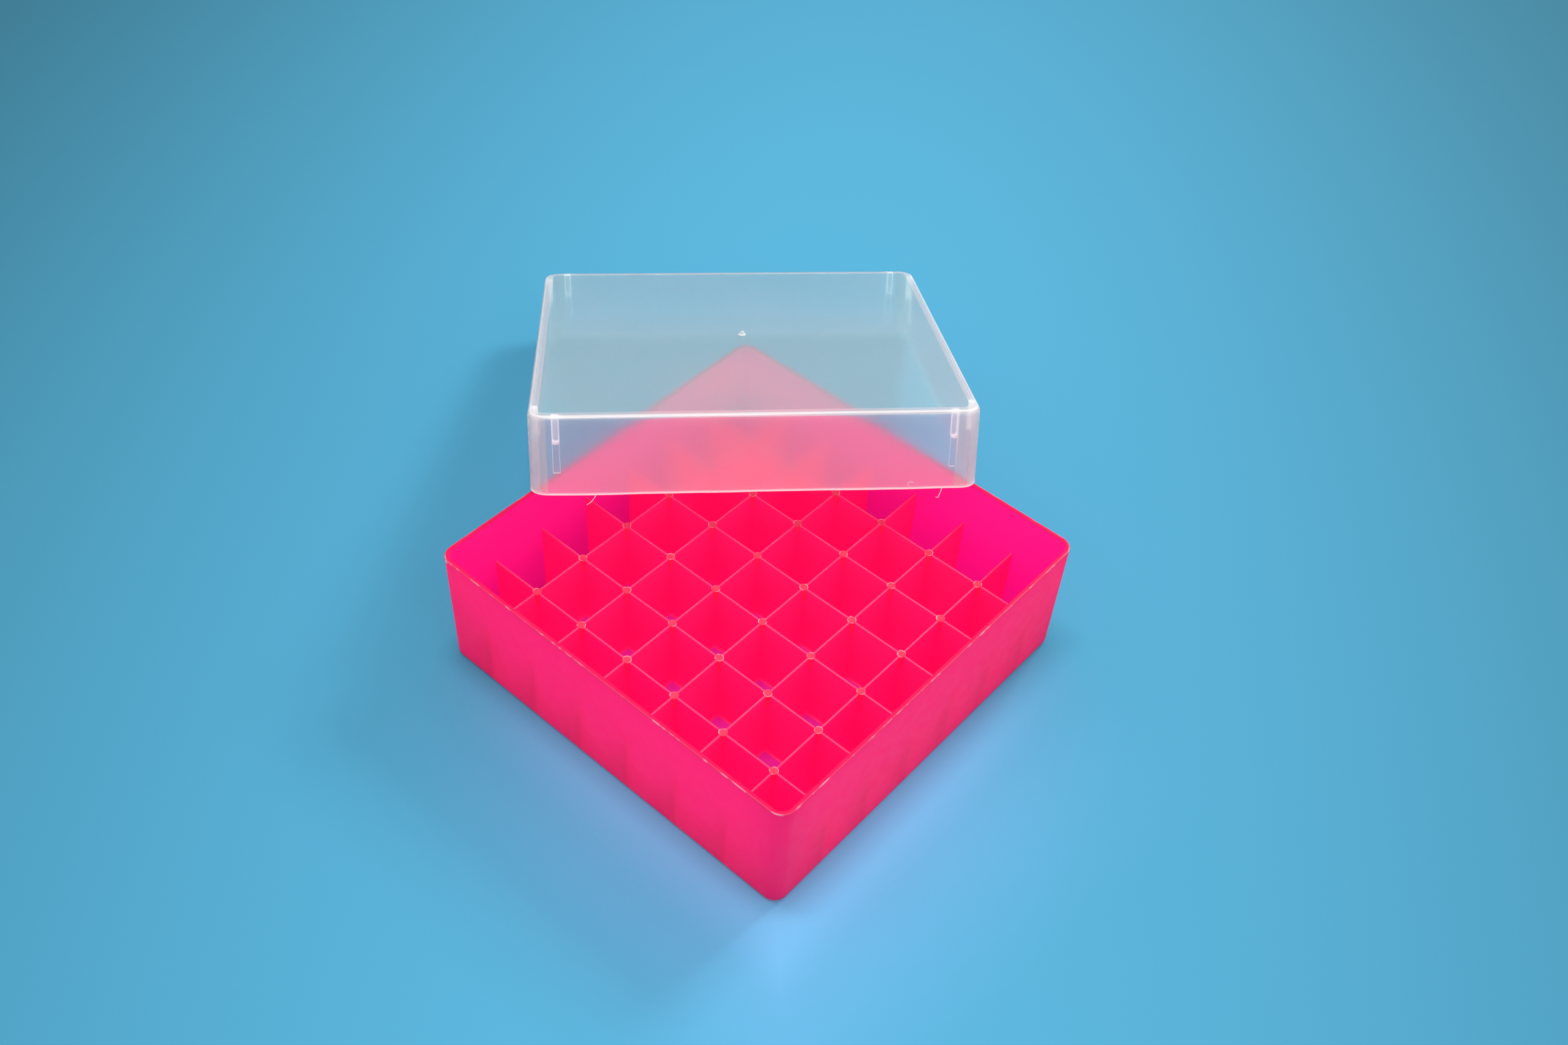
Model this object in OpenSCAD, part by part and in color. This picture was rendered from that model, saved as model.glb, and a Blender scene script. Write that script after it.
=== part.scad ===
// Square cryogenic storage box for screw-capped tubes: an open tray with a
// grid of tube cells moulded into it, and a hollow friction-fit lid.
// The lid is off its seat. It leans over the tray's far corner, with its
// back edge on the table and its side walls across the tray's rim.
//
// Millimetres, +Z up, X and Y along the tray's sides. The origin is the
// centre of the tray's underside. The lid is drawn about the centre of its
// top face and then placed.

/* [Tray] */
// Outside width of the square tray at its rim
tray_w = 130; // [120:1:140]
// Height of the tray
tray_h = 41.9; // [36:0.1:50]
// Outside radius of the tray's upright corners
tray_corner_r = 4.5; // [3:0.5:8]
// Wall thickness at the rim
tray_wall = 1.3; // [1:0.1:1.8]
// How far each outer wall leans in from rim to underside
tray_draft = 0.3; // [0.1:0.1:0.6]
// How far each inner wall leans in from rim to floor
tray_core_draft = 0.6; // [0.2:0.1:1]
// Floor thickness
tray_floor = 1; // [0.8:0.1:2]
// Bevel round the tray's lower edge
tray_bevel = 0.8; // [0.4:0.1:1.2]

/* [Tube cells] */
// Distance from one divider to the next
cell_pitch = 18.4; // [16:0.1:18.8]
// Height of the divider tops above the underside
divider_h = 25.3; // [20:0.1:32]
// Divider thickness at its top
divider_top_t = 0.65; // [0.5:0.05:0.9]
// Divider thickness at the tray floor
divider_foot_t = 1.1; // [0.9:0.05:1.4]
// Diameter of the round boss on each crossing
boss_d = 2.7; // [2:0.1:3.4]
// How far each boss stands above the dividers
boss_rise = 0.1; // [0.05:0.05:0.3]
// Depth over which a boss tapers into the crossing
boss_depth = 7; // [3:0.5:12]

/* [Lid] */
// Outside width of the square lid at its open edge
lid_w = 132.6; // [132:0.1:134]
// Height of the lid
lid_h = 25.1; // [22:0.1:30]
// Outside radius of the lid's upright corners
lid_corner_r = 5.5; // [4.5:0.5:8]
// Wall and top plate thickness
lid_wall = 1.1; // [0.8:0.05:1.1]
// How far each wall leans in from open edge to top
lid_draft = 0.15; // [0.05:0.05:0.2]
// Radius of the lid's top edge
lid_edge_r = 1.8; // [1:0.1:2.5]
// Width of the ribs inside the walls
rib_w = 2.1; // [1.5:0.1:3]
// Distance from a rib's middle to the nearer outer side face
rib_inset = 8.2; // [7:0.1:12]
// How far the stop ribs stand in from the wall
stop_rib_depth = 1.8; // [1.5:0.1:2.5]
// Distance from the top face to the lower end of the stop ribs
stop_rib_end = 8.9; // [6:0.1:12]
// How far the grip ribs stand in from the wall
grip_rib_depth = 0.25; // [0.15:0.05:0.4]
// Distance from the top face to the lower end of the grip ribs
grip_rib_end = 17.9; // [14:0.1:20]
// Diameter of the gate mark where it meets the top face
gate_d = 2.2; // [1.5:0.1:3]
// Height of the gate mark
gate_h = 1.2; // [0.6:0.1:1.5]

/* [Lid position] */
// Turn of the lid about the upright axis, clockwise from above
lid_turn = 44.4; // [44:0.1:46]
// Tilt of the lid, front edge up
lid_tilt = 19.6; // [19.6:0.1:20.4]
// Sideways place of the top face's centre
lid_x = 63.5; // [63:0.1:64]
// Endways place of the top face's centre
lid_y = 65.4; // [65:0.1:66]
// Gap left between the lid's back edge and the table
table_gap = 0.15; // [0.1:0.05:0.5]

/* [Hidden] */

$fn = 64;
// Dividers each way, which make one more cell than their number
divider_count = 6;
// Step between the points of the lid's rounded top edge, in degrees
edge_step = 15;
// Length by which a cutting shape runs past the face that it opens
overcut = 1;
tray_half = tray_w / 2;
lid_half = lid_w / 2;
// The lid's back edge clears the table by table_gap
lid_z = table_gap + lid_half * sin(lid_tilt) + lid_h * cos(lid_tilt);
tray_pink = [0.96, 0.12, 0.42];
divider_pink = [0.94, 0.08, 0.32];
boss_pink = [1, 0.35, 0.5];
lid_milk = [0.86, 0.9, 0.94, 0.55];

// Place of divider number i, counted from 1, across the tray
function divider_at(i) = (i - (divider_count + 1) / 2) * cell_pitch;

// Square block with round upright corners and leaning sides. Each point of
// the profile, from bottom to top, is [inset from half, height].
module drafted_block(half, corner_r, profile) {
    straight = half - corner_r;
    side = [for (p = profile) [half - p[0], p[1]]];
    corner = [for (p = profile) [corner_r - p[0], p[1]]];
    last = len(profile) - 1;
    mirrored = [for (i = [last : -1 : 0]) [-side[i][0], side[i][1]]];
    for (turn = [0, 90])
        rotate([90, 0, turn])
            linear_extrude(2 * straight, center = true)
                polygon(concat(side, mirrored));
    for (sx = [-1, 1], sy = [-1, 1])
        translate([sx * straight, sy * straight, 0])
            rotate_extrude()
                polygon(concat([[0, profile[0][1]]], corner, [[0, profile[last][1]]]));
}

// The space inside the tray's walls, from the floor up past the rim
module tray_cavity() {
    drafted_block(tray_half, tray_corner_r, [
        [tray_wall + tray_core_draft, tray_floor],
        [tray_wall, tray_h],
        [tray_wall, tray_h + overcut]
    ]);
}

module base_tray() {
    color(tray_pink)
        difference() {
            drafted_block(tray_half, tray_corner_r, [
                [tray_draft + tray_bevel, 0],
                [tray_draft, tray_bevel],
                [0, tray_h]
            ]);
            tray_cavity();
        }
}

// Tapered plate along X through the origin, as long as the whole tray
module divider_plate() {
    rotate([90, 0, 90])
        linear_extrude(tray_w, center = true)
            polygon([
                [-divider_foot_t / 2, tray_floor],
                [divider_foot_t / 2, tray_floor],
                [divider_top_t / 2, divider_h],
                [-divider_top_t / 2, divider_h]
            ]);
}

// A row divider runs from wall to wall along X
module row_plate(i) {
    intersection() {
        translate([0, divider_at(i), 0])
            divider_plate();
        tray_cavity();
    }
}

module row_divider(i) {
    color(divider_pink)
        row_plate(i);
}

// A column divider runs along Y, in one piece for each cell it passes
module column_divider(i) {
    color(divider_pink)
        difference() {
            intersection() {
                translate([divider_at(i), 0, 0])
                    rotate([0, 0, 90])
                        divider_plate();
                tray_cavity();
            }
            for (row = [1 : divider_count])
                translate([0, divider_at(row), 0])
                    divider_plate();
        }
}

// Round pad on one crossing, tapering down into its four corners
module crossing_boss() {
    difference() {
        union() {
            translate([0, 0, divider_h - boss_depth])
                cylinder(h = boss_depth, d1 = divider_foot_t, d2 = boss_d);
            translate([0, 0, divider_h])
                cylinder(h = boss_rise, d = boss_d);
        }
        for (turn = [0, 90])
            rotate([0, 0, turn])
                divider_plate();
    }
}

module crossing_bosses() {
    color(boss_pink)
        for (i = [1 : divider_count], j = [1 : divider_count])
            translate([divider_at(i), divider_at(j), 0])
                crossing_boss();
}

// Puts a lid piece, drawn about the centre of the lid's top face, in place
module in_lid_place() {
    translate([lid_x, lid_y, lid_z])
        rotate([0, 0, -lid_turn])
            rotate([-lid_tilt, 0, 0])
                children();
}

// The space inside the lid, from below its open edge up to the top plate
module lid_cavity() {
    drafted_block(lid_half, lid_corner_r, [
        [lid_wall, -lid_h - overcut],
        [lid_wall, -lid_h],
        [lid_wall + lid_draft, -lid_wall]
    ]);
}

module lid_shell() {
    rounding = [
        for (a = [0 : edge_step : 90])
            [lid_draft + lid_edge_r * (1 - cos(a)), lid_edge_r * (sin(a) - 1)]
    ];
    color(lid_milk)
        in_lid_place()
            difference() {
                drafted_block(lid_half, lid_corner_r, concat([[0, -lid_h]], rounding));
                lid_cavity();
            }
}

// Two upright ribs on each wall, between two depths below the top face
module wall_ribs(depth, start, end) {
    face = lid_half - lid_wall - lid_draft - depth;
    intersection() {
        for (side = [0 : 3], hand = [-1, 1])
            rotate([0, 0, 90 * side])
                translate([face, hand * (lid_half - rib_inset) - rib_w / 2, -end])
                    cube([depth + lid_wall, rib_w, end - start]);
        lid_cavity();
    }
}

// The stop ribs meet the tray's rim when the lid is closed
module stop_ribs() {
    color(lid_milk)
        in_lid_place()
            wall_ribs(stop_rib_depth, lid_wall, stop_rib_end);
}

// The grip ribs run on below the stops and hold the tray by friction
module grip_ribs() {
    color(lid_milk)
        in_lid_place()
            wall_ribs(grip_rib_depth, stop_rib_end, grip_rib_end);
}

// Stub left in the middle of the top face where the plastic came in
module gate_mark() {
    color(lid_milk)
        in_lid_place()
            cylinder(h = gate_h, d1 = gate_d, d2 = gate_d * 0.8);
}

base_tray();
for (i = [1 : divider_count]) {
    row_divider(i);
    column_divider(i);
}
crossing_bosses();
lid_shell();
stop_ribs();
grip_ribs();
gate_mark();
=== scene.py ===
"""Looks for the square cryogenic storage box: a fluorescent pink tray with a
moulded grid of tube cells, and a milky translucent lid leaning over its far
corner. Everything is in metres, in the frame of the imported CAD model."""

import math
import random

import bmesh
import bpy
from mathutils import Matrix, Vector, noise


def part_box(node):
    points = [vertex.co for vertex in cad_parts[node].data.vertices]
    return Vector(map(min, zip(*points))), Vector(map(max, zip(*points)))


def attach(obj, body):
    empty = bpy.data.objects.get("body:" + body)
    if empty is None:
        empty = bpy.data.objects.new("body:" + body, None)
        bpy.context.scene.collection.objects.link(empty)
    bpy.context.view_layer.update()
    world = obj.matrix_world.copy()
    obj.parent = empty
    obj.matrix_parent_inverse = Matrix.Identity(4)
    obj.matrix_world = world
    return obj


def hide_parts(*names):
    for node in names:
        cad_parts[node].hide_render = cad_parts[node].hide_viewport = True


MM = 0.001

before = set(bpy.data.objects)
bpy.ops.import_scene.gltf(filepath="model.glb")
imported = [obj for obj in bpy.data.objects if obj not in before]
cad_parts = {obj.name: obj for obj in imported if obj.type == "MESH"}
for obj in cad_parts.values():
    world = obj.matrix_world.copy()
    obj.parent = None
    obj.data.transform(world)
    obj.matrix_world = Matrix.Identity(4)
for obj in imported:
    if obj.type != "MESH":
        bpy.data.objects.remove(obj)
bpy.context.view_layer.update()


# ---------------------------------------------------------------- camera

EYE = Vector((-244.1, -198.2, 381.5)) * MM
LOOK_AT = Vector((12.5, 2.6, 41.9)) * MM
CAMERA_ROLL = math.radians(4.27)
LENS_MM = 36.97
SENSOR_MM = 36.0
CLIP_START = 0.01
CLIP_END = 20.0


def make_camera():
    data = bpy.data.cameras.new("camera")
    data.lens = LENS_MM
    data.sensor_width = SENSOR_MM
    data.clip_start = CLIP_START
    data.clip_end = CLIP_END
    camera = bpy.data.objects.new("camera", data)
    bpy.context.scene.collection.objects.link(camera)
    aim = (LOOK_AT - EYE).to_track_quat("-Z", "Y").to_matrix().to_4x4()
    camera.matrix_world = Matrix.Translation(EYE) @ aim @ Matrix.Rotation(CAMERA_ROLL, 4, "Z")
    bpy.context.scene.camera = camera


# ---------------------------------------------------------------- sizes


def middle_of(node):
    low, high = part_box(node)
    return (low + high) / 2


# Sizes that the frame gives
ROWS = [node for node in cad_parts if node.startswith("row_divider_")]
DIVIDERS = range(1, len(ROWS) + 1)
_, tray_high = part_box("base_tray")
divider_low, divider_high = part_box("row_divider_1")
TRAY_HALF = tray_high.x
TRAY_H = tray_high.z
FLOOR = divider_low.z
DIVIDER_H = divider_high.z
ROW_Y = [middle_of(f"row_divider_{i}").y for i in DIVIDERS]
COLUMN_X = [middle_of(f"column_divider_{i}").x for i in DIVIDERS]
CELL_PITCH = COLUMN_X[1] - COLUMN_X[0]

# Sizes that part.scad states
TRAY_CORNER_R = 4.5 * MM
TRAY_WALL = 1.3 * MM
TRAY_DRAFT = 0.3 * MM
TRAY_CORE_DRAFT = 0.6 * MM
DIVIDER_TOP_T = 0.65 * MM
DIVIDER_FOOT_T = 1.1 * MM
BOSS_R = 1.35 * MM
BOSS_RISE = 0.1 * MM
BOSS_DEPTH = 7.0 * MM
LID_HALF = 66.3 * MM
LID_H = 25.1 * MM
LID_CORNER_R = 5.5 * MM
LID_WALL = 1.1 * MM
LID_DRAFT = 0.15 * MM
LID_EDGE_R = 1.8 * MM
RIB_W = 2.1 * MM
RIB_INSET = 8.2 * MM
STOP_DEPTH = 1.8 * MM
STOP_END = 8.9 * MM
GRIP_DEPTH = 0.25 * MM
GRIP_END = 17.9 * MM
GATE_R = 1.1 * MM
GATE_H = 1.2 * MM
LID_TURN = math.radians(-44.4)
LID_TILT = math.radians(-19.6)
LID_X = 63.5 * MM
LID_Y = 65.4 * MM
TABLE_GAP = 0.15 * MM
LID_Z = TABLE_GAP - LID_HALF * math.sin(LID_TILT) + LID_H * math.cos(LID_TILT)

# Where the lid's own frame sits: the middle of its top face, +Z out of it,
# with its raised front wall at -Y
LID_PLACE = (
    Matrix.Translation((LID_X, LID_Y, LID_Z))
    @ Matrix.Rotation(LID_TURN, 4, "Z")
    @ Matrix.Rotation(LID_TILT, 4, "X")
)


# ---------------------------------------------------------------- mesh tools

SMALLEST_CORNER_R = 0.3 * MM


def arc(cx, cz, r, start, end, steps):
    """Points of an arc, as (x, z), from one angle to another in degrees."""
    points = []
    for k in range(steps + 1):
        a = math.radians(start + (end - start) * k / steps)
        points.append((cx + r * math.cos(a), cz + r * math.sin(a)))
    return points


def between(a, b, steps):
    """Points strictly between a and b, as (x, z)."""
    points = []
    for k in range(1, steps):
        points.append((a[0] + (b[0] - a[0]) * k / steps, a[1] + (b[1] - a[1]) * k / steps))
    return points


def painted(parts):
    """Points of every part, each with the material number of the strip after it.
    The strip between two parts takes the lower of their numbers."""
    profile = []
    for k, (part, paint) in enumerate(parts):
        following = parts[min(k + 1, len(parts) - 1)][1]
        profile += [(inset, z, paint) for inset, z in part[:-1]]
        profile.append((*part[-1], min(paint, following)))
    return profile


def square_ring(half, corner_r, z, side_steps, corner_steps):
    """Points round a square with round corners, at height z. Each quarter is
    one side and the corner after it."""
    corner_r = max(corner_r, SMALLEST_CORNER_R)
    straight = half - corner_r
    ring = []
    for quarter in range(4):
        turn = Matrix.Rotation(math.pi / 2 * quarter, 3, "Z")
        for k in range(1, side_steps):
            ring.append(turn @ Vector((half, -straight + 2 * straight * k / side_steps, z)))
        for x, y in arc(straight, straight, corner_r, 0, 90, corner_steps):
            ring.append(turn @ Vector((x, y, z)))
    return ring


def round_ring(steps, point):
    """Points round a circle, each made by point(cosine, sine)."""
    angles = [2 * math.pi * k / steps for k in range(steps)]
    return [point(math.cos(a), math.sin(a)) for a in angles]


class Shape:
    """Points and faces of a mesh, with the material number of each face."""

    def __init__(self):
        self.points = []
        self.faces = []
        self.paints = []

    def loft(self, rings, paints=None, caps=None):
        """Adds one closed body through rings of equal count. paints holds, for
        each ring, the material number of each face after it, and caps those of
        the two end faces."""
        start = len(self.points)
        count = len(rings[0])
        paints = paints or [[0] * count] * len(rings)
        for ring in rings:
            self.points.extend(ring)
        for k in range(len(rings) - 1):
            low = start + k * count
            high = low + count
            for i in range(count):
                j = (i + 1) % count
                self.faces.append((low + i, low + j, high + j, high + i))
                self.paints.append(paints[k][i])
        self.faces.append(tuple(reversed(range(start, start + count))))
        last = start + (len(rings) - 1) * count
        self.faces.append(tuple(range(last, last + count)))
        self.paints += caps or [paints[0][0], paints[-1][0]]


def make_piece(name, shape, body, nodes, materials, place=None, crease=32):
    """A closed piece that stands for the CAD nodes, if any. It is shaded
    smooth over every edge that bends by less than crease, in degrees."""
    mesh = bpy.data.meshes.new(name)
    mesh.from_pydata([tuple(p) for p in shape.points], [], shape.faces)
    mesh.polygons.foreach_set("material_index", shape.paints)
    if place:
        mesh.transform(place)
    bm = bmesh.new()
    bm.from_mesh(mesh)
    bmesh.ops.recalc_face_normals(bm, faces=bm.faces)
    for face in bm.faces:
        face.smooth = True
    for edge in bm.edges:
        edge.smooth = edge.calc_face_angle(0.0) < math.radians(crease)
    bm.to_mesh(mesh)
    bm.free()
    for material in materials:
        mesh.materials.append(material)
    piece = bpy.data.objects.new(name, mesh)
    bpy.context.scene.collection.objects.link(piece)
    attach(piece, body)
    if nodes:
        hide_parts(*nodes)


# ---------------------------------------------------------------- shader tools


class Nodes:
    """Short calls that add and join shader nodes in one material."""

    def __init__(self, name):
        self.material = bpy.data.materials.new(name)
        self.material.use_nodes = True
        self.tree = self.material.node_tree
        self.tree.nodes.clear()
        self.output = self.tree.nodes.new("ShaderNodeOutputMaterial")

    def add(self, kind, **settings):
        node = self.tree.nodes.new("ShaderNode" + kind)
        for key, value in settings.items():
            setattr(node, key, value)
        return node

    def feed(self, socket, value):
        if isinstance(value, bpy.types.NodeSocket):
            self.tree.links.new(value, socket)
        elif value is not None:
            socket.default_value = value

    def math(self, operation, a, b=None):
        node = self.add("Math", operation=operation)
        self.feed(node.inputs[0], a)
        self.feed(node.inputs[1], b)
        return node.outputs[0]

    def plus(self, a, b):
        return self.math("ADD", a, b)

    def minus(self, a, b):
        return self.math("SUBTRACT", a, b)

    def times(self, a, b):
        return self.math("MULTIPLY", a, b)

    def most(self, a, b):
        return self.math("MAXIMUM", a, b)

    def ramp(self, value, low, high, to_low=0.0, to_high=1.0):
        node = self.add("MapRange", interpolation_type="SMOOTHSTEP")
        for socket, v in zip(node.inputs, (value, low, high, to_low, to_high)):
            self.feed(socket, v)
        return node.outputs[0]

    def mix(self, factor, a, b):
        """Mixes two colours, which this node takes at sockets 6 and 7."""
        node = self.add("Mix", data_type="RGBA")
        self.feed(node.inputs[0], factor)
        self.feed(node.inputs[6], a)
        self.feed(node.inputs[7], b)
        return node.outputs[2]

    def noise(self, scale, detail=3.0):
        node = self.add("TexNoise")
        self.feed(node.inputs["Scale"], scale)
        self.feed(node.inputs["Detail"], detail)
        self.feed(node.inputs["Vector"], self.place())
        return node.outputs["Fac"]

    def mottled(self, scale, colours):
        return self.mix(self.noise(scale), *colours)

    def place(self):
        return self.add("TexCoord").outputs["Object"]

    def place_parts(self):
        split = self.add("SeparateXYZ")
        self.feed(split.inputs[0], self.place())
        return split.outputs

    def height(self):
        return self.place_parts()[2]

    def along(self, direction):
        """How far along a direction a point lies."""
        node = self.add("VectorMath", operation="DOT_PRODUCT")
        self.feed(node.inputs[0], self.place())
        self.feed(node.inputs[1], direction)
        return node.outputs["Value"]

    def bump(self, height, strength, distance):
        node = self.add("Bump")
        self.feed(node.inputs["Strength"], strength)
        self.feed(node.inputs["Distance"], distance)
        self.feed(node.inputs["Height"], height)
        return node.outputs[0]

    def finish(self, share, shader, other):
        """The material, of which a share comes from the other shader."""
        node = self.add("MixShader")
        self.feed(node.inputs[0], share)
        self.feed(node.inputs[1], shader.outputs[0])
        self.feed(node.inputs[2], other.outputs[0])
        self.feed(self.output.inputs["Surface"], node.outputs[0])
        return self.material


def colour(r, g, b):
    """Linear colour from screen values of 0 to 255."""

    def linear(v):
        v /= 255
        return v / 12.92 if v <= 0.04045 else ((v + 0.055) / 1.055) ** 2.4

    return (linear(r), linear(g), linear(b), 1.0)


# ---------------------------------------------------------------- pink plastic

# Painted glow, which stands for the dye's fluorescence and for light bounced round the cells, and the
# colours of light that passes through the plastic
GLOW_PINK = (1.0, 0.008, 0.13, 1.0)
GLOW_MAGENTA = (1.0, 0.01, 0.32, 1.0)
GLOW_PURPLE = (0.95, 0.005, 0.42, 1.0)
PASS_MAGENTA = colour(255, 70, 200)
PASS_RED = colour(255, 60, 160)

# Body colours. Where there are two, the face is mottled with them.
OUTER_PINKS = (colour(248, 22, 104), colour(250, 30, 114))
# Colour of the painted shadows on the outer walls
OUTER_SHADOW_PINK = colour(120, 8, 60)
RIM_PINKS = (colour(228, 12, 78), colour(236, 22, 92))
# The rim's outer edge line is a painted highlight with painted glints
HIGHLIGHT_LINE_PINK = colour(240, 48, 104)
LINE_GLINT = colour(255, 150, 175)
# The inner walls are painted more magenta than the outer, for blue light that comes through the plastic,
# and purple lower down for painted shade
INNER_PINKS = (colour(232, 40, 112), colour(238, 48, 122))
INNER_SHADE_PURPLE = colour(190, 22, 130)
# The cells' floor is painted purple for the blue light that comes through it from the table
FLOOR_PURPLES = (colour(205, 50, 190), colour(215, 60, 200))
DIVIDER_REDS = (colour(244, 42, 106), colour(248, 50, 116))
DIVIDER_HIGHLIGHT = colour(255, 76, 120)
PAD_REDS = (colour(225, 62, 92), colour(240, 72, 104))
# Colour of the painted glints round the pads' lips
PAD_GLINT = colour(255, 215, 225)

# Scales of the mottling and of the painted glints
WALL_MOTTLE = 28.0
GRID_MOTTLE = 40.0
RIM_MOTTLE = 60.0
PAD_MOTTLE = 90.0
GLINT_SCALE = 230.0
PAD_GLINT_SCALE = 620.0

# The painted shadow that each cell's dividers cast on the outer wall. Its top
# starts low and rises across the cell, both in shares of the dividers' height.
PATCH_LOW = 0.3
PATCH_RISE = 0.75
PATCH_FADE_BELOW = 12 * MM
PATCH_FADE_ABOVE = 3 * MM
PATCH_START = 0.3
PATCH_DARKENS = 0.24

# Painted shade darkens the nearest corner where -(x + y) lies between these distances
CORNER_START = 0.112
CORNER_FULL = 0.128
CORNER_DARKNESS = 0.8

# Strength of the painted glow on each face
OUTER_GLOW = 0.23
PATCH_DIMS = 0.09
INNER_GLOW_LOW = 0.42
INNER_GLOW_HIGH = 0.62


def pink_plastic(name, body, passing, share, glow, strength, ior=1.5):
    """Fluorescent plastic, whose body colour comes from nodes, and so may the
    strength of its glow. It lets a share of the light through in its passing
    colour."""
    n = Nodes(name)
    shader = n.add("BsdfPrincipled")
    n.feed(shader.inputs["Base Color"], body(n))
    roughness = n.ramp(n.noise(260.0, detail=4.0), 0.3, 0.7, to_low=0.3, to_high=0.42)
    n.feed(shader.inputs["Roughness"], roughness)
    n.feed(shader.inputs["IOR"], ior)
    # The glow is painted light: partly the dye's fluorescence, partly light bounced inside the tray
    n.feed(shader.inputs["Emission Color"], glow)
    n.feed(shader.inputs["Emission Strength"], strength(n) if callable(strength) else strength)
    grain = n.bump(n.noise(1600.0, detail=2.0), strength=0.1, distance=0.2 * MM)
    n.feed(shader.inputs["Normal"], grain)
    back = n.add("BsdfTranslucent")
    n.feed(back.inputs["Color"], passing)
    return n.finish(share, shader, back)


def cell_shade(n):
    """Darkness of the outer walls, where the dividers behind them take the
    light. It grows across each cell, ends sharply at the next divider and
    comes back at the nearest corner."""
    x, y, z = n.place_parts()
    on_x_side = n.math("GREATER_THAN", n.math("ABSOLUTE", x), n.math("ABSOLUTE", y))
    step_over = n.minus(n.times(y, -1.0), x)
    along = n.plus(x, n.times(on_x_side, step_over))
    across = n.math("FRACT", n.plus(n.math("DIVIDE", along, CELL_PITCH), 0.5))
    top = n.times(n.plus(n.times(across, PATCH_RISE), PATCH_LOW), DIVIDER_H)
    below = n.ramp(n.minus(z, top), -PATCH_FADE_BELOW, PATCH_FADE_ABOVE, 1.0, 0.0)
    patch = n.times(below, n.ramp(across, PATCH_START, 1.0))
    nearness = n.times(n.plus(x, y), -1.0)
    corner = n.ramp(nearness, CORNER_START, CORNER_FULL, 0.0, CORNER_DARKNESS)
    return n.most(patch, corner)


def outer_body(n):
    # Painted shadow: the body darkens in the dividers' shadows and at the nearest corner
    darkness = n.times(cell_shade(n), PATCH_DARKENS)
    return n.mix(darkness, n.mottled(WALL_MOTTLE, OUTER_PINKS), OUTER_SHADOW_PINK)


def outer_glow(n):
    # The painted glow dims in the same painted shadows
    return n.minus(OUTER_GLOW, n.times(cell_shade(n), PATCH_DIMS))


def rim_body(n):
    return n.mottled(RIM_MOTTLE, RIM_PINKS)


def highlight_line_body(n):
    """The rim's outermost edge: a painted highlight line, whitened here and there by painted glints."""
    return n.mix(n.ramp(n.noise(GLINT_SCALE, detail=4.0), 0.5, 0.68), HIGHLIGHT_LINE_PINK, LINE_GLINT)


def inner_body(n):
    # Painted light and shade: the inner walls turn purple towards the floor
    low = n.ramp(n.height(), 0.2 * TRAY_H, 0.85 * TRAY_H, 1.0, 0.0)
    return n.mix(low, n.mottled(WALL_MOTTLE, INNER_PINKS), INNER_SHADE_PURPLE)


def inner_glow(n):
    # Painted light: the glow grows towards the rim, where more light falls
    return n.ramp(n.height(), 0.15 * TRAY_H, 0.9 * TRAY_H, INNER_GLOW_LOW, INNER_GLOW_HIGH)


def floor_body(n):
    # Painted light: purple for blue light that comes through the floor
    return n.mottled(WALL_MOTTLE, FLOOR_PURPLES)


def divider_body(n):
    """Red-pink, with a paler painted highlight along the top edge."""
    edge = n.ramp(n.height(), DIVIDER_H - 0.25 * MM, DIVIDER_H - 0.08 * MM)
    return n.mix(edge, n.mottled(GRID_MOTTLE, DIVIDER_REDS), DIVIDER_HIGHLIGHT)


def pad_body(n):
    """Paler red, with painted glints round the lip of each pad."""
    lip = n.ramp(n.height(), DIVIDER_H + 0.06 * MM, DIVIDER_H + BOSS_RISE)
    glints = n.ramp(n.noise(PAD_GLINT_SCALE, detail=1.0), 0.48, 0.56)
    return n.mix(n.times(lip, glints), n.mottled(PAD_MOTTLE, PAD_REDS), PAD_GLINT)


# ---------------------------------------------------------------- milky plastic

MILK = (0.99, 0.98, 0.99, 1.0)
# The plate's cyan tint is a painted reflection of the blue surroundings
CYAN_REFLECTION_MILK = (0.7, 0.98, 1.0, 1.0)
WARM_MILK = (1.0, 0.975, 0.96, 1.0)
VIOLET = (0.25, 0.18, 1.0, 1.0)
WHITE = (0.95, 0.96, 0.97, 1.0)
WHITE_SHADED = (0.8, 0.83, 0.85, 1.0)
# The ribs sit in the walls, so light passes them almost unbent
RIB_IOR = 1.02


def lid_material(name, tint, haze, scattered, roughness, ior=1.49, glow=0.0, glow_tint=None):
    """Milky plastic, which passes blurred light, reflects haze of it and
    scatters some of it through. The faint glow stands for light caught inside."""
    n = Nodes(name)
    shader = n.add("BsdfPrincipled")
    cloud = n.ramp(n.noise(25.0, detail=2.0), 0.3, 0.7, to_low=0.0, to_high=0.2)
    n.feed(shader.inputs["Base Color"], n.mix(cloud, tint, MILK))
    n.feed(shader.inputs["Roughness"], roughness)
    n.feed(shader.inputs["IOR"], ior)
    n.feed(shader.inputs["Transmission Weight"], 1.0 - haze)
    n.feed(shader.inputs["Emission Color"], glow_tint or tint)
    n.feed(shader.inputs["Emission Strength"], glow)
    n.feed(shader.inputs["Normal"], n.bump(n.noise(300.0), strength=0.04, distance=0.3 * MM))
    scatter = n.add("BsdfTranslucent")
    n.feed(scatter.inputs["Color"], tint)
    return n.finish(scattered, shader, scatter)


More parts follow.
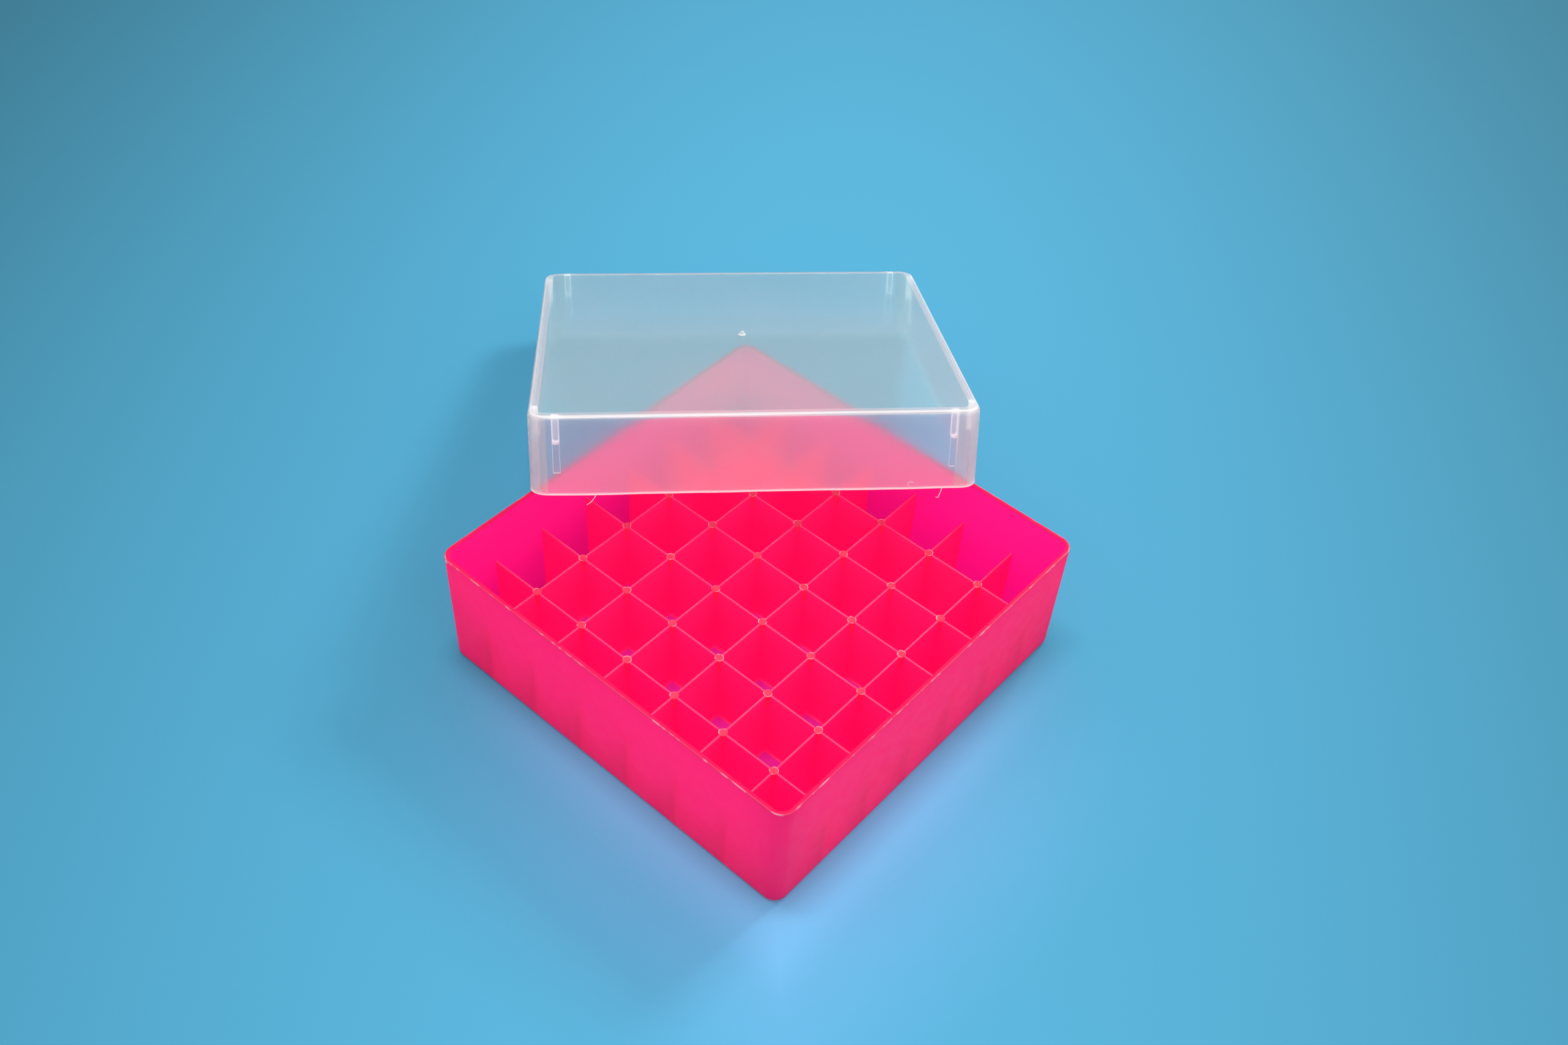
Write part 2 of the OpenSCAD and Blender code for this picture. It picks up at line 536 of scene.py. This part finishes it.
def white_material():
    """Whitened plastic, as on the torn gate and the flash."""
    n = Nodes("whitened_polypropylene")
    shader = n.add("BsdfPrincipled")
    n.feed(shader.inputs["Base Color"], n.mottled(900.0, (WHITE_SHADED, WHITE)))
    n.feed(shader.inputs["Roughness"], 0.45)
    n.feed(shader.inputs["Normal"], n.bump(n.noise(1500.0), strength=0.3, distance=0.2 * MM))
    scatter = n.add("BsdfTranslucent")
    n.feed(scatter.inputs["Color"], WHITE)
    return n.finish(0.35, shader, scatter)


# ---------------------------------------------------------------- tray

TRAY_SIDE_STEPS = 110
TRAY_CORNER_STEPS = 10
FLOOR_TOP, INSIDE, OUTSIDE, RIM, RIM_HIGHLIGHT_LINE = range(5)

# Dents in the rim: their widths and depths in millimetres, and the reach of
# each in its own widths
RIM_NICKS = 26
NICK_SEED = 11
NICK_WIDTHS = (0.5, 1.6)
NICK_DEPTHS = (0.06, 0.16)
NICK_REACH = 2.5

# The whole rim is slightly uneven. Only points within the band below its top
# move.
RIM_BAND = 1.2 * MM
RIM_WAVE = 0.035 * MM
RIM_WAVE_LENGTH = 2.2 * MM
# Share of a dent that goes inwards as well as down
DENT_INWARDS = 0.7


def tray_outer_inset(z):
    return TRAY_DRAFT * (1 - z / TRAY_H)


def tray_inner_inset(z):
    return TRAY_WALL + TRAY_CORE_DRAFT * (TRAY_H - z) / (TRAY_H - FLOOR)


def tray_profile():
    """Inset, height and material number of each ring, from the middle of the
    underside, over the rim, to the middle of the floor."""
    foot_r = 1.3 * MM
    floor_r = 1.0 * MM
    outer_r = 0.32 * MM
    inner_r = 0.2 * MM
    outside = [(inset * MM, 0.0) for inset in (60, 45, 25, 8, 3)]
    for dx, z in arc(0.0, foot_r, foot_r, -90, 0, 6):
        outside.append((tray_outer_inset(z) + foot_r - dx, z))
    for _, z in between((0, foot_r), (0, TRAY_H - outer_r), 8):
        outside.append((tray_outer_inset(z), z))
    line = [(outer_r - dx, z) for dx, z in arc(0.0, TRAY_H - outer_r, outer_r, 0, 90, 5)]
    rim = between((outer_r, TRAY_H), (TRAY_WALL - inner_r, TRAY_H), 3)
    for dx, z in arc(0.0, TRAY_H - inner_r, inner_r, 90, 180, 4):
        rim.append((TRAY_WALL - inner_r - dx, z))
    inside = []
    for _, z in between((0, TRAY_H - inner_r), (0, FLOOR + floor_r), 9):
        inside.append((tray_inner_inset(z), z))
    for dx, z in arc(0.0, FLOOR + floor_r, floor_r, 180, 270, 5):
        inside.append((tray_inner_inset(z) + floor_r + dx, z))
    floor = [(inset * MM, FLOOR) for inset in (5, 10, 25, 45, 60)]
    return painted([
        (outside, OUTSIDE),
        (line, RIM_HIGHLIGHT_LINE),
        (rim, RIM),
        (inside, INSIDE),
        (floor, FLOOR_TOP),
    ])


def nick_places():
    """Small dents along the rim, each as its middle, its width and its depth."""
    rng = random.Random(NICK_SEED)
    nicks = []
    for _ in range(RIM_NICKS):
        along = rng.uniform(-TRAY_HALF, TRAY_HALF)
        side = rng.randrange(4)
        spot = Matrix.Rotation(math.pi / 2 * side, 3, "Z") @ Vector((TRAY_HALF, along, TRAY_H))
        nicks.append((spot, rng.uniform(*NICK_WIDTHS) * MM, rng.uniform(*NICK_DEPTHS) * MM))
    return nicks


def dented(p, nicks):
    """A rim point moved by the dents and a slight unevenness of the edge."""
    near_rim = max(0.0, 1 - (TRAY_H - p.z) / RIM_BAND)
    if near_rim == 0.0:
        return p
    drop = RIM_WAVE * (0.5 + 0.5 * noise.noise(p / RIM_WAVE_LENGTH))
    for spot, width, depth in nicks:
        away = (p - spot).length / width
        if away < NICK_REACH:
            drop += depth * math.exp(-away * away * 2)
    drop *= near_rim
    inwards = Vector((p.x, p.y, 0)).normalized() * drop * DENT_INWARDS
    return p - inwards - Vector((0, 0, drop))


def tray_looks():
    """The tray's materials, in the order of their numbers."""
    return [
        pink_plastic("pink_floor", floor_body, PASS_MAGENTA, share=0.4, glow=GLOW_PURPLE, strength=0.36),
        pink_plastic(
            "pink_inner_wall", inner_body, PASS_MAGENTA, share=0.5, glow=GLOW_MAGENTA, strength=inner_glow
        ),
        pink_plastic(
            "pink_outer_wall", outer_body, PASS_MAGENTA, share=0.5, glow=GLOW_PINK, strength=outer_glow
        ),
        pink_plastic("pink_rim", rim_body, PASS_RED, share=0.2, glow=GLOW_PINK, strength=0.05, ior=1.25),
        pink_plastic("pink_rim_highlight", highlight_line_body, PASS_RED, share=0.2, glow=GLOW_PINK, strength=0.05),
    ]


def make_tray():
    nicks = nick_places()
    rings, paints = [], []
    for inset, z, paint in tray_profile():
        ring = square_ring(
            TRAY_HALF - inset, TRAY_CORNER_R - inset, z, TRAY_SIDE_STEPS, TRAY_CORNER_STEPS
        )
        rings.append([dented(p, nicks) for p in ring])
        paints.append([paint] * len(ring))
    shape = Shape()
    shape.loft(rings, paints)
    make_piece("tray_moulding", shape, "tray", ["base_tray"], tray_looks())


# ---------------------------------------------------------------- grid

DIVIDER_STEPS = 84
# How far the ends of a divider sink into the walls
DIVIDER_SUNK = 0.35 * MM
# A divider bows sideways and its top dips, each along its own wave
BOW = 0.05 * MM
BOW_LENGTH = 9 * MM
DIP = 0.03 * MM
DIP_LENGTH = 2 * MM

PAD_SEED = 5
PAD_STEPS = 32
PAD_LIP_R = 0.07 * MM
SMALLEST_PAD = 0.96
PAD_UNEVEN = 0.02


def divider_section():
    """Half of a divider's section from its top to its foot, as (x, z)."""
    top_r = 0.2 * MM
    foot_r = 0.9 * MM
    half_top = DIVIDER_TOP_T / 2
    half_foot = DIVIDER_FOOT_T / 2
    right = [(half_top - top_r - x, z) for x, z in arc(0, DIVIDER_H - top_r, top_r, 90, 180, 4)]
    right += between((half_top, DIVIDER_H - top_r), (half_foot, FLOOR + foot_r), 6)
    right += [(half_foot + foot_r + x, z) for x, z in arc(0, FLOOR + foot_r, foot_r, 180, 270, 5)]
    right.append((half_foot + foot_r, FLOOR / 2))
    return right


def make_divider(name, node, across, along_x, material):
    """One divider from wall to wall, its ends sunk a little into the walls."""
    half = divider_section()
    section = half + [(-x, z) for x, z in reversed(half)]
    # A place in the noise that no other divider shares
    strand = (across * 37 + (0.5 if along_x else 0.0)) * 900
    rings = []
    for k in range(DIVIDER_STEPS + 1):
        share = 2 * k / DIVIDER_STEPS - 1
        ring = []
        for x, z in section:
            along = share * (TRAY_HALF - tray_inner_inset(max(z, FLOOR)) + DIVIDER_SUNK)
            lift = max(0.0, (z - FLOOR) / (DIVIDER_H - FLOOR))
            bow = BOW * lift * noise.noise(Vector((along / BOW_LENGTH, strand, 0)))
            wave = noise.noise(Vector((along / DIP_LENGTH, strand, 5)))
            dip = DIP * lift * (0.5 + 0.5 * wave)
            side = across + x + bow
            ring.append(Vector((along, side, z - dip)) if along_x else Vector((side, along, z - dip)))
        rings.append(ring)
    shape = Shape()
    shape.loft(rings)
    make_piece(name, shape, "tray", [node], [material])


def pad_profile():
    """Radius and height of each ring of a pad, from its foot to its middle."""
    foot_r = DIVIDER_FOOT_T / 2
    foot_z = DIVIDER_H - BOSS_DEPTH
    shoulder_z = DIVIDER_H - 0.1 * MM
    dish_z = DIVIDER_H + 0.03 * MM
    lip_r = PAD_LIP_R
    top = DIVIDER_H + BOSS_RISE
    profile = [(foot_r * 0.6, foot_z), (foot_r, foot_z + 0.4 * MM)]
    profile += between((foot_r, foot_z), (BOSS_R, shoulder_z), 6)
    profile += [(BOSS_R, shoulder_z), (BOSS_R, top - lip_r)]
    profile += arc(BOSS_R - lip_r, top - lip_r, lip_r, 20, 90, 3)
    profile += [(BOSS_R - 2.4 * lip_r, top - 0.01 * MM), (BOSS_R - 4 * lip_r, dish_z)]
    profile += [(BOSS_R * 0.45, dish_z), (BOSS_R * 0.2, dish_z + 0.015 * MM)]
    return profile


def pad_ring(x, y, r, z):
    """One slightly uneven ring of the pad at x, y."""
    strand = x * 900 + y * 300

    def point(c, s):
        rough = 1.0 + PAD_UNEVEN * noise.noise(Vector((c * 2, s * 2, strand)))
        return Vector((x + r * min(rough, 1.0) * c, y + r * min(rough, 1.0) * s, z))

    return round_ring(PAD_STEPS, point)


def make_pads(material):
    """A round pad with a fine raised lip on each crossing."""
    rng = random.Random(PAD_SEED)
    shape = Shape()
    for x in COLUMN_X:
        for y in ROW_Y:
            size = rng.uniform(SMALLEST_PAD, 1.0)
            shape.loft([pad_ring(x, y, r * size, z) for r, z in pad_profile()])
    nodes = ["crossing_bosses"]
    make_piece("crossing_pads", shape, "tray", nodes, [material], crease=50)


def make_grid():
    material = pink_plastic(
        "pink_divider_plastic", divider_body, PASS_RED, share=0.36, glow=GLOW_MAGENTA, strength=0.26
    )
    for i in DIVIDERS:
        make_divider(f"row_wall_{i}", f"row_divider_{i}", ROW_Y[i - 1], True, material)
        make_divider(f"column_wall_{i}", f"column_divider_{i}", COLUMN_X[i - 1], False, material)
    make_pads(pink_plastic(
        "pink_pad_plastic", pad_body, PASS_RED, share=0.36, glow=GLOW_MAGENTA, strength=0.1
    ))


# ---------------------------------------------------------------- lid

LID_SIDE_STEPS = 60
LID_CORNER_STEPS = 12
# Gap that keeps the lid's mesh inside its CAD box
LID_SLACK = 0.02 * MM
PLATE, WALL, NEAR_CORNER, CORNER, SOFT_EDGE, TOP_EDGE, TOP_HIGHLIGHT, OPEN_EDGE = range(8)

# The open edge is uneven over this share of the lid's height, by a long wave
# and a fine one
UNEVEN_SHARE = 0.14
EDGE_WAVE = 0.38 * MM
EDGE_WAVE_LENGTH = 14 * MM
FINE_WAVE = 0.08 * MM
FINE_WAVE_LENGTH = 3 * MM


def lid_outer_inset(z):
    return LID_DRAFT * (1 + z / LID_H)


def lid_profile():
    """Inset, height and material number of each ring, from the middle of the
    plate's underside, round the open edge, to the middle of the top face."""
    opening_r = 0.25 * MM
    inner_r = 0.9 * MM
    border_w = 1.4 * MM
    band_z = -LID_H + 0.5 * MM
    plate_insets = [inset * MM for inset in (61, 48, 30, 12, 4)]
    under = [(inset, -LID_WALL) for inset in plate_insets]
    inner = []
    for dx, z in arc(0.0, -LID_WALL - inner_r, inner_r, 90, 0, 4):
        inner.append((LID_WALL + lid_outer_inset(z) + inner_r - dx, z))
    for _, z in between((0, -LID_WALL - inner_r), (0, band_z), 9):
        inner.append((LID_WALL + lid_outer_inset(z), z))
    opening = [(LID_WALL, band_z)]
    for dx, z in arc(0, -LID_H + opening_r, opening_r, 180, 270, 3):
        opening.append((LID_WALL - opening_r - dx, z))
    for dx, z in arc(0, -LID_H + opening_r, opening_r, 270, 360, 3):
        opening.append((opening_r - dx, z))
    opening.append((0.0, band_z))
    outer = []
    for _, z in between((0, band_z), (0, -LID_EDGE_R), 9):
        outer.append((lid_outer_inset(z), z))
    edge = []
    for dx, z in arc(0.0, -LID_EDGE_R, LID_EDGE_R, 0, 90, 9):
        edge.append((lid_outer_inset(z) + LID_EDGE_R - dx, z))
    border = [edge[-1], (edge[-1][0] + border_w, 0.0)]
    plate = [(inset, 0.0) for inset in reversed(plate_insets)]
    return painted([
        (under, PLATE),
        (inner, WALL),
        (opening, OPEN_EDGE),
        (outer + edge[:3], WALL),
        # Painted highlight: the top edge's rounding is painted milkier, with a brighter line along its
        # middle
        (edge[3:5], TOP_EDGE),
        (edge[5:8], TOP_HIGHLIGHT),
        (edge[8:9], TOP_EDGE),
        (border, SOFT_EDGE),
        (plate, PLATE),
    ])


def lid_paints(paint):
    """Material number of each face after a ring: a wall is painted milkier towards
    its corners, over a quarter of the bend on each side, as painted light for the bright bands of the
    bends."""
    near = [NEAR_CORNER if paint == WALL else paint]
    side = [paint] * (LID_SIDE_STEPS - 2) + near
    bend = near * (LID_CORNER_STEPS // 4)
    corner = [CORNER if paint == WALL else paint] * (LID_CORNER_STEPS - 2 * len(bend))
    return (side + bend + corner + bend + [paint]) * 4


def lid_warp(p):
    """The open edge is cut unevenly."""
    start = LID_H * (1 - UNEVEN_SHARE)
    near_edge = max(0.0, min(1.0, (-p.z - start) / (LID_H * UNEVEN_SHARE)))
    wave = 0.5 + 0.5 * noise.noise(Vector((p.x, p.y, 0)) / EDGE_WAVE_LENGTH)
    fine = 0.5 + 0.5 * noise.noise(Vector((p.x, p.y, 9 * MM)) / FINE_WAVE_LENGTH)
    lift = near_edge * (EDGE_WAVE * wave + FINE_WAVE * fine)
    return p + Vector((0, 0, lift))


def lid_looks():
    """The lid's materials, in the order of their numbers."""
    return [
        lid_material("milky_plate", CYAN_REFLECTION_MILK, haze=0.15, scattered=0.04, roughness=0.09),
        lid_material(
            "milky_wall", MILK, haze=0.16, scattered=0.04, roughness=0.24, glow=0.025, glow_tint=VIOLET
        ),
        # Painted light: the corners, border, top edge, its highlight line and the open edge are milkier,
        # and some glow, for light caught in bends and edges
        lid_material("milky_near_corner", MILK, haze=0.26, scattered=0.09, roughness=0.27),
        lid_material("milky_corner", MILK, haze=0.36, scattered=0.18, roughness=0.3),
        lid_material("milky_border", MILK, haze=0.28, scattered=0.1, roughness=0.12),
        lid_material("milky_top_edge", WARM_MILK, haze=0.5, scattered=0.25, roughness=0.15),
        lid_material("milky_top_highlight", WARM_MILK, haze=0.8, scattered=0.3, roughness=0.1, glow=0.1),
        lid_material("milky_open_edge", WARM_MILK, haze=0.85, scattered=0.3, roughness=0.3, glow=0.25),
    ]


def make_lid():
    rings, paints = [], []
    half = LID_HALF - LID_SLACK
    for inset, z, paint in lid_profile():
        ring = square_ring(half - inset, LID_CORNER_R - inset, z, LID_SIDE_STEPS, LID_CORNER_STEPS)
        rings.append([lid_warp(p) for p in ring])
        paints.append(lid_paints(paint))
    shape = Shape()
    shape.loft(rings, paints)
    make_piece("lid_moulding", shape, "lid", ["lid_shell"], lid_looks(), LID_PLACE)


# ---------------------------------------------------------------- ribs

RIB_FACE, RIB_SIDE, RIB_END = range(3)
# How far the back of a rib sinks into the wall
RIB_SUNK = 0.3 * MM
SMALLEST_END_R = 0.1 * MM
STOP_START = LID_WALL * 0.7
STOP_END_R = RIB_W / 2
STOP_NOSE_R = 0.35 * MM
GRIP_START = STOP_END - 1.2 * MM
GRIP_END_R = 0.3 * MM
GRIP_NOSE_R = 0.12 * MM


def rib_outline(half_w, start, end, end_r, steps=8):
    """Outline of a rib seen from inside the lid, as (sideways, z)."""
    middle_z = -(start + end) / 2
    outline = [(half_w, -start), (half_w, middle_z)]
    outline += arc(half_w - end_r, -end + end_r, end_r, 0, -90, steps)
    outline += arc(-half_w + end_r, -end + end_r, end_r, -90, -180, steps)
    outline += [(-half_w, middle_z), (-half_w, -start)]
    return outline


def rib_levels(depth, nose_r):
    """How far in from the wall each ring of a rib lies, and its inset."""
    levels = [(-RIB_SUNK, 0.0), (depth - nose_r, 0.0)]
    levels += [(depth - nose_r + z, nose_r - x) for x, z in arc(0, 0, nose_r, 20, 90, 3)]
    return levels


def make_ribs(name, node, depth, start, end, end_r, nose_r, materials):
    """Two ribs on each wall, with rounded lower ends and noses. Their faces
    take the first material, their sides the second and their end noses the third."""
    wall_face = LID_HALF - LID_WALL - LID_DRAFT
    shape = Shape()
    for side in range(4):
        turn = Matrix.Rotation(math.pi / 2 * side, 3, "Z")
        for hand in (-1, 1):
            middle = hand * (LID_HALF - RIB_INSET)
            rings = []
            for out, inset in rib_levels(depth, nose_r):
                round_r = max(end_r - inset, SMALLEST_END_R)
                outline = rib_outline(RIB_W / 2 - inset, start, end - inset, round_r)
                rings.append([turn @ Vector((wall_face - out, middle + u, z)) for u, z in outline])
            count = len(rings[0])
            nose = [RIB_SIDE] * 2 + [RIB_END] * (count - 5) + [RIB_SIDE] * 3
            paints = [[RIB_SIDE] * count] + [nose] * (len(rings) - 1)
            shape.loft(rings, paints, caps=[RIB_FACE, RIB_FACE])
    make_piece(name, shape, "lid", [node], materials, LID_PLACE)


def rib_material(name, tint, haze, scattered, glow):
    return lid_material(name, tint, haze, scattered, roughness=0.2, ior=RIB_IOR, glow=glow)


def make_all_ribs():
    stop_face = rib_material("milky_stop_rib", MILK, haze=0.12, scattered=0.08, glow=0.05)
    grip_face = rib_material("milky_grip_rib", MILK, haze=0.03, scattered=0.03, glow=0.0)
    # Painted highlights: the ribs' sides and lower ends glow, for light along their edges
    side = rib_material("milky_rib_side", WARM_MILK, haze=0.6, scattered=0.4, glow=0.5)
    end = rib_material("milky_rib_end", WARM_MILK, haze=0.4, scattered=0.4, glow=1.3)
    make_ribs(
        "stop_rib_set", "stop_ribs", STOP_DEPTH, STOP_START, STOP_END, STOP_END_R, STOP_NOSE_R,
        [stop_face, side, end],
    )
    make_ribs(
        "grip_rib_set", "grip_ribs", GRIP_DEPTH, GRIP_START, GRIP_END, GRIP_END_R, GRIP_NOSE_R,
        [grip_face, side, side],
    )


# ---------------------------------------------------------------- small scraps

# The gate stub's rings, in shares of its radius and its height: a thin flared
# skirt, then a narrow peak
GATE_PROFILE = [
    (1.0, 0.0), (1.18, 0.03), (1.2, 0.1), (1.0, 0.2), (0.72, 0.3), (0.6, 0.55), (0.5, 0.8), (0.3, 0.95),
]
GATE_STEPS = 20
GATE_UNEVEN_R = 0.28
GATE_UNEVEN_H = 0.25

THREAD_R = 0.125 * MM
THREAD_UNEVEN = 0.04 * MM
THREAD_SIDES = 6

# The flake, by the direction in which it lies from its corner's middle
FLAKE_ANGLE = math.radians(165)
FLAKE_BELOW_RIM = 0.75 * MM
FLAKE_SUNK = 0.08 * MM
FLAKE_H = 1.4 * MM
FLAKE_HALF_W = 0.6 * MM
FLAKE_THIN = 0.25
FLAKE_UNEVEN = 0.35
FLAKE_LEVELS = 6
FLAKE_STEPS = 10


def gate_ring(r, h):
    def point(c, s):
        rough = noise.noise(Vector((c * 1.6, s * 1.6, h * 3)))
        radius = r * GATE_R * (1 + GATE_UNEVEN_R * rough)
        return Vector((radius * c, radius * s, GATE_H * h * (1 + GATE_UNEVEN_H * rough)))

    return round_ring(GATE_STEPS, point)


def make_gate(material):
    """Torn stub where the plastic came in."""
    shape = Shape()
    shape.loft([gate_ring(r, h) for r, h in GATE_PROFILE])
    make_piece("gate_stub", shape, "lid", ["gate_mark"], [material], LID_PLACE)


def thread_path(route, steps=6):
    """A smooth line through a few points (Catmull-Rom)."""
    pts = [Vector(p) * MM for p in route]
    pts = [2 * pts[0] - pts[1]] + pts + [2 * pts[-1] - pts[-2]]
    path = []
    for i in range(1, len(pts) - 2):
        a, b, c, d = pts[i - 1 : i + 3]
        for k in range(steps):
            t = k / steps
            square = (2 * a - 5 * b + 4 * c - d) * t**2
            cube = (3 * b - 3 * c + d - a) * t**3
            path.append(0.5 * (2 * b + (c - a) * t + square + cube))
    return path + [pts[-2]]


def thread_rings(path):
    rings = []
    for k, p in enumerate(path):
        ahead = (path[min(k + 1, len(path) - 1)] - path[max(k - 1, 0)]).normalized()
        side = ahead.cross(Vector((0, 1, 0))).normalized()
        up = side.cross(ahead)
        thick = THREAD_R + THREAD_UNEVEN * noise.noise(p * 900)
        rings.append(round_ring(THREAD_SIDES, lambda c, s: p + (side * c + up * s) * thick))
    return rings


def make_threads(material):
    """Hair-thin whiskers of flash on the lid's front open edge. Their routes
    are in millimetres, in the lid's own frame."""
    front = -LID_HALF / MM
    edge = -LID_H / MM
    routes = [
        [
            (-46.8, front, edge + 0.6),
            (-47.6, front - 0.3, edge - 0.6),
            (-48.6, front - 0.6, edge - 1.7),
            (-49.7, front - 0.4, edge - 2.6),
        ],
        [
            (46.0, front - 0.05, edge + 0.3),
            (45.3, front - 0.12, edge + 1.4),
            (44.9, front - 0.2, edge + 2.2),
            (45.5, front - 0.3, edge + 2.75),
            (46.6, front - 0.35, edge + 2.65),
        ],
        [
            (55.3, front, edge + 0.3),
            (54.9, front - 0.3, edge - 0.6),
            (54.5, front - 0.5, edge - 1.6),
            (54.2, front - 0.6, edge - 2.3),
            (53.5, front - 0.6, edge - 2.2),
        ],
    ]
    shape = Shape()
    for route in routes:
        shape.loft(thread_rings(thread_path(route)))
    make_piece("edge_flash", shape, "lid", [], [material], LID_PLACE, crease=80)


def make_flake(material):
    """A scrap of whitened plastic clinging to the rim's outer edge at one corner."""
    outward = Vector((math.cos(FLAKE_ANGLE), math.sin(FLAKE_ANGLE), 0))
    sideways = Vector((-outward.y, outward.x, 0))
    straight = TRAY_HALF - TRAY_CORNER_R
    middle = Vector((-straight, straight, TRAY_H - FLAKE_BELOW_RIM))
    middle += outward * (TRAY_CORNER_R - FLAKE_SUNK)
    rings = []
    for k in range(FLAKE_LEVELS + 1):
        share = k / FLAKE_LEVELS
        centre = middle + Vector((0, 0, (share - 0.5) * FLAKE_H))
        wide = FLAKE_HALF_W * math.sqrt(1.02 - (2 * share - 1) ** 2)

        def point(c, s):
            rough = 1.0 + FLAKE_UNEVEN * noise.noise(Vector((c * 2, s * 2, k)))
            return centre + (sideways * c + outward * FLAKE_THIN * s) * wide * rough

        rings.append(round_ring(FLAKE_STEPS, point))
    shape = Shape()
    shape.loft(rings)
    make_piece("rim_flake", shape, "tray", [], [material], crease=60)


# ---------------------------------------------------------------- stage

TABLE_SIZE = 40.0
TABLE_NEAR = colour(83, 172, 209)
TABLE_FAR = colour(46, 106, 126)
TABLE_GLOW = colour(103, 178, 222)
TABLE_CLOSE = colour(120, 192, 240)

# Painted light on the table: it darkens away from a spot in front of the box, as a pool of light fades,
# less steeply along the camera's direction than across it, and turns light again far away
ACROSS = (0.62, -0.79, 0.0)
AWAY = (0.79, 0.62, 0.0)
SPOT_BACK = 0.113
AWAY_SHARE = 0.35
DARKENS = (-0.05, 0.5)
LIGHTENS = (0.6, 1.1)

# Reach of the blue light beside the tray's two near walls, and the stretch
# over which it ends towards their far corners
GLOW_REACH = 0.07
CLOSE_REACH = 0.022
BESIDE = (-0.03, 0.07)

WORLD_COLOUR = (0.95, 0.98, 1.0, 1.0)
WORLD_STRENGTH = 0.73


def table_material():
    n = Nodes("table")
    shader = n.add("BsdfPrincipled")
    across = n.along(ACROSS)
    depth = n.times(n.plus(n.along(AWAY), SPOT_BACK), AWAY_SHARE)
    spread = n.math("SQRT", n.plus(n.times(across, across), n.times(depth, depth)))
    x, y, _ = n.place_parts()
    nearest = n.most(n.times(x, -1.0), n.times(y, -1.0))
    beside = n.ramp(n.most(x, y), *BESIDE, 1.0, 0.0)
    front = n.ramp(nearest, TRAY_HALF, TRAY_HALF + GLOW_REACH, 1.0, 0.0)
    close = n.ramp(nearest, TRAY_HALF, TRAY_HALF + CLOSE_REACH, 1.0, 0.0)
    # Painted light: a fading pool of light, and blue light beside the tray's near walls, are painted into
    # the table's colour
    lit = n.mix(n.ramp(spread, *DARKENS), TABLE_NEAR, TABLE_FAR)
    lit = n.mix(n.ramp(spread, *LIGHTENS), lit, TABLE_NEAR)
    lit = n.mix(n.times(front, beside), lit, TABLE_GLOW)
    lit = n.mix(n.times(close, beside), lit, TABLE_CLOSE)
    n.feed(shader.inputs["Base Color"], lit)
    n.feed(shader.inputs["Roughness"], 0.8)
    n.feed(shader.inputs["Specular IOR Level"], 0.2)
    n.feed(n.output.inputs["Surface"], shader.outputs[0])
    return n.material


def make_stage():
    bpy.ops.mesh.primitive_plane_add(size=TABLE_SIZE, location=(0, 0, 0))
    floor = bpy.context.active_object
    floor.name = "table_top"
    floor.data.materials.append(table_material())
    world = bpy.data.worlds.new("studio")
    bpy.context.scene.world = world
    world.use_nodes = True
    background = world.node_tree.nodes["Background"]
    background.inputs["Color"].default_value = WORLD_COLOUR
    background.inputs["Strength"].default_value = WORLD_STRENGTH


def area_light(name, place, target, size, power):
    data = bpy.data.lights.new(name, "AREA")
    data.shape = "RECTANGLE"
    data.size, data.size_y = size
    data.energy = power
    light = bpy.data.objects.new(name, data)
    light.location = place
    light.rotation_euler = (Vector(target) - Vector(place)).to_track_quat("-Z", "Y").to_euler()
    bpy.context.scene.collection.objects.link(light)
    return light


def make_lights():
    """A soft key from behind on the right, an oblong lamp overhead that is
    turned with the lid, and a weak fill from the front on the right."""
    area_light(
        "key", place=(0.95, -0.05, 0.85), target=(0.03, 0.03, 0.03), size=(0.35, 0.35), power=6.5
    )
    tube = area_light(
        "tube", place=(-0.03, 0.09, 1.2), target=(-0.03, 0.09, 0.0), size=(0.4, 0.12), power=4.0
    )
    tube.rotation_euler.z = LID_TURN
    area_light(
        "fill", place=(-0.05, -0.8, 0.75), target=(-0.05, -0.05, 0.0), size=(0.6, 0.5), power=0.6
    )


# ---------------------------------------------------------------- build

bpy.context.scene.view_settings.view_transform = "Standard"
bpy.context.scene.cycles.diffuse_bounces = 8
bpy.context.scene.cycles.transmission_bounces = 16
bpy.context.scene.cycles.max_bounces = 20

make_camera()
make_stage()
make_lights()
make_tray()
make_grid()
make_lid()
make_all_ribs()
white = white_material()
make_gate(white)
make_threads(white)
make_flake(white)

bpy.context.view_layer.update()
